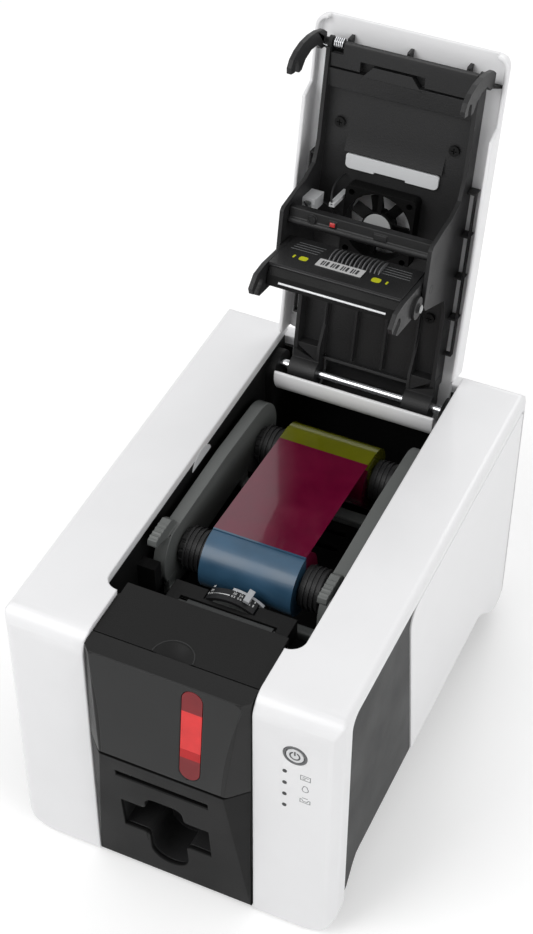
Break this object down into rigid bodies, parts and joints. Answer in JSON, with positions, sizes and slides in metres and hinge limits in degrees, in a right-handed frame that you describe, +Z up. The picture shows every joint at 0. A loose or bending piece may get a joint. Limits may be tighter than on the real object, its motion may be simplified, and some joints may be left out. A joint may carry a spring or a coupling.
{
  "type": "id card printer",
  "caption": "Desktop id card printer with its lid open: print head and latch in the lid, ribbon cassette, rollers, feeder door and card mouth",
  "frame": {"origin": "middle of the footprint of the side covers, on the plane the feet rest on", "axes": "+X to the right of someone facing the front, +Y to the back, +Z up"},
  "size_m": [0.205, 0.3454, 0.4038],
  "materials": {
    "shell_white": "fine satin texture",
    "front_black": "satin",
    "panel_dark": "fine texture",
    "black_plastic": "fine texture",
    "scale_grey": "with white figures",
    "lever_grey": "satin",
    "cassette_grey": "satin",
    "white_plastic": "satin",
    "rubber": "matt",
    "steel": "bright",
    "heat_sink": "extruded",
    "print_head": "glazed ceramic",
    "circuit_green": "solder resist",
    "film": "colour panels",
    "film_yellow": "wound film",
    "film_blue": "wound film",
    "window_red": "clear tint",
    "button_cap": "lit cap",
    "lens": "light lens"
  },
  "bodies": {
    "base": {"base_tray": "black_plastic", "rubber_feet": "rubber", "left_cover": "shell_white", "right_cover": "shell_white", "left_side_panel": "panel_dark", "right_side_panel": "panel_dark", "left_rear_panel": "shell_white", "right_rear_panel": "shell_white", "rear_cover": "shell_white", "power_inlet": "black_plastic", "usb_socket": "steel", "front_bezel": "front_black", "top_deck": "black_plastic", "thickness_scale": "scale_grey", "left_bay_wall": "black_plastic", "right_bay_wall": "black_plastic", "card_guide": "black_plastic", "card_hopper": "black_plastic", "output_tray": "black_plastic", "main_board": "circuit_green", "button_board": "circuit_green", "drive_motor": "steel", "led_lenses": "lens", "latch_pins": "steel"},
    "door": {"feeder_door": "front_black", "level_window": "window_red", "door_pins": "steel"},
    "gauge": {"gauge_lever": "lever_grey"},
    "button": {"power_button": "button_cap"},
    "cleaner": {"cleaning_roller": "black_plastic"},
    "feed": {"feed_roller": "rubber", "feed_gear": "white_plastic"},
    "transport": {"transport_roller": "rubber", "transport_gear": "white_plastic"},
    "platen": {"platen_roller": "rubber", "platen_axle": "steel", "platen_gear": "white_plastic"},
    "idler_front": {"front_idler": "white_plastic"},
    "idler_rear": {"rear_idler": "white_plastic"},
    "pinion": {"motor_pinion": "white_plastic"},
    "cassette": {"cassette_frame": "cassette_grey", "ribbon_film": "film"},
    "supply": {"supply_spool": "black_plastic", "supply_roll": "film_yellow"},
    "takeup": {"takeup_spool": "black_plastic", "takeup_roll": "film_blue"},
    "lid": {"lid_cover": "shell_white", "lid_frame": "black_plastic", "hinge_rod": "steel", "fan_housing": "black_plastic", "reflector_strip": "white_plastic", "sensor_bar": "black_plastic", "lid_connectors": "white_plastic", "lid_screws": "steel"},
    "fan": {"fan_rotor": "black_plastic"},
    "latch": {"lid_latch": "black_plastic", "latch_spring": "steel"},
    "head": {"head_carrier": "black_plastic", "print_head": "print_head", "heat_sink": "heat_sink"}
  },
  "joints": [
    {"name": "lid_hinge", "type": "hinge", "parent": "base", "child": "lid", "pos_m": [0, 0.124, 0.177], "axis": [-1, 0, 0], "range_deg": [-101.3, 0], "deforming": ["ribbon_film"]},
    {"name": "latch_pivot", "type": "hinge", "parent": "lid", "child": "latch", "pos_m": [0, 0.17044, 0.38901], "axis": [-1, 0, 0], "range_deg": [0, 8], "stiffness_Nm_per_rad": 0.05, "springref_deg": -17.19},
    {"name": "head_tilt", "type": "hinge", "parent": "lid", "child": "head", "pos_m": [0, 0.10476, 0.28486], "axis": [1, 0, 0], "range_deg": [0, 2.5], "stiffness_Nm_per_rad": 0.8, "springref_deg": -3.44},
    {"name": "fan_spin", "type": "hinge", "parent": "lid", "child": "fan", "pos_m": [-0.002, 0.14606, 0.28742], "axis": [0, 0.9806, -0.1959], "continuous": true},
    {"name": "feeder_door_hinge", "type": "hinge", "parent": "base", "child": "door", "pos_m": [0, -0.1574, 0.1185], "axis": [1, 0, 0], "range_deg": [0, 50]},
    {"name": "gauge_swing", "type": "hinge", "parent": "base", "child": "gauge", "pos_m": [-0.0015, -0.058, 0.1384], "axis": [0, 1, 0], "range_deg": [-46, 10]},
    {"name": "power_press", "type": "slide", "parent": "base", "child": "button", "axis": [0, 1, 0], "range_m": [0, 0.0012], "stiffness_N_per_m": 300, "springref_m": -0.001},
    {"name": "cleaner_spin", "type": "hinge", "parent": "base", "child": "cleaner", "pos_m": [0, -0.074, 0.16], "axis": [1, 0, 0], "continuous": true},
    {"name": "platen_spin", "type": "hinge", "parent": "base", "child": "platen", "pos_m": [0, 0.025, 0.0934], "axis": [1, 0, 0], "continuous": true},
    {"name": "transport_spin", "type": "hinge", "parent": "base", "child": "transport", "pos_m": [0, -0.039, 0.0944], "axis": [1, 0, 0], "continuous": true},
    {"name": "feed_spin", "type": "hinge", "parent": "base", "child": "feed", "pos_m": [0, -0.10086, 0.1108], "axis": [1, 0, 0], "continuous": true},
    {"name": "front_idler_spin", "type": "hinge", "parent": "base", "child": "idler_front", "pos_m": [-0.068, -0.06896, 0.10234], "axis": [1, 0, 0], "continuous": true},
    {"name": "rear_idler_spin", "type": "hinge", "parent": "base", "child": "idler_rear", "pos_m": [-0.068, -0.008, 0.09392], "axis": [1, 0, 0], "continuous": true},
    {"name": "pinion_spin", "type": "hinge", "parent": "base", "child": "pinion", "pos_m": [-0.068, 0.04262, 0.07862], "axis": [1, 0, 0], "continuous": true},
    {"name": "cassette_lift", "type": "slide", "parent": "base", "child": "cassette", "axis": [0, 0, 1], "range_m": [0, 0.06]},
    {"name": "supply_spin", "type": "hinge", "parent": "cassette", "child": "supply", "pos_m": [0, 0.075, 0.151], "axis": [1, 0, 0], "continuous": true},
    {"name": "takeup_spin", "type": "hinge", "parent": "cassette", "child": "takeup", "pos_m": [0, -0.0315, 0.159], "axis": [1, 0, 0], "continuous": true}
  ],
  "couplings": [
    {"joint": "transport_spin", "follows": "platen_spin", "ratio": 1.1667},
    {"joint": "feed_spin", "follows": "platen_spin", "ratio": 1},
    {"joint": "front_idler_spin", "follows": "platen_spin", "ratio": -0.73684},
    {"joint": "rear_idler_spin", "follows": "platen_spin", "ratio": -0.73684},
    {"joint": "pinion_spin", "follows": "platen_spin", "ratio": -1.5556}
  ]
}
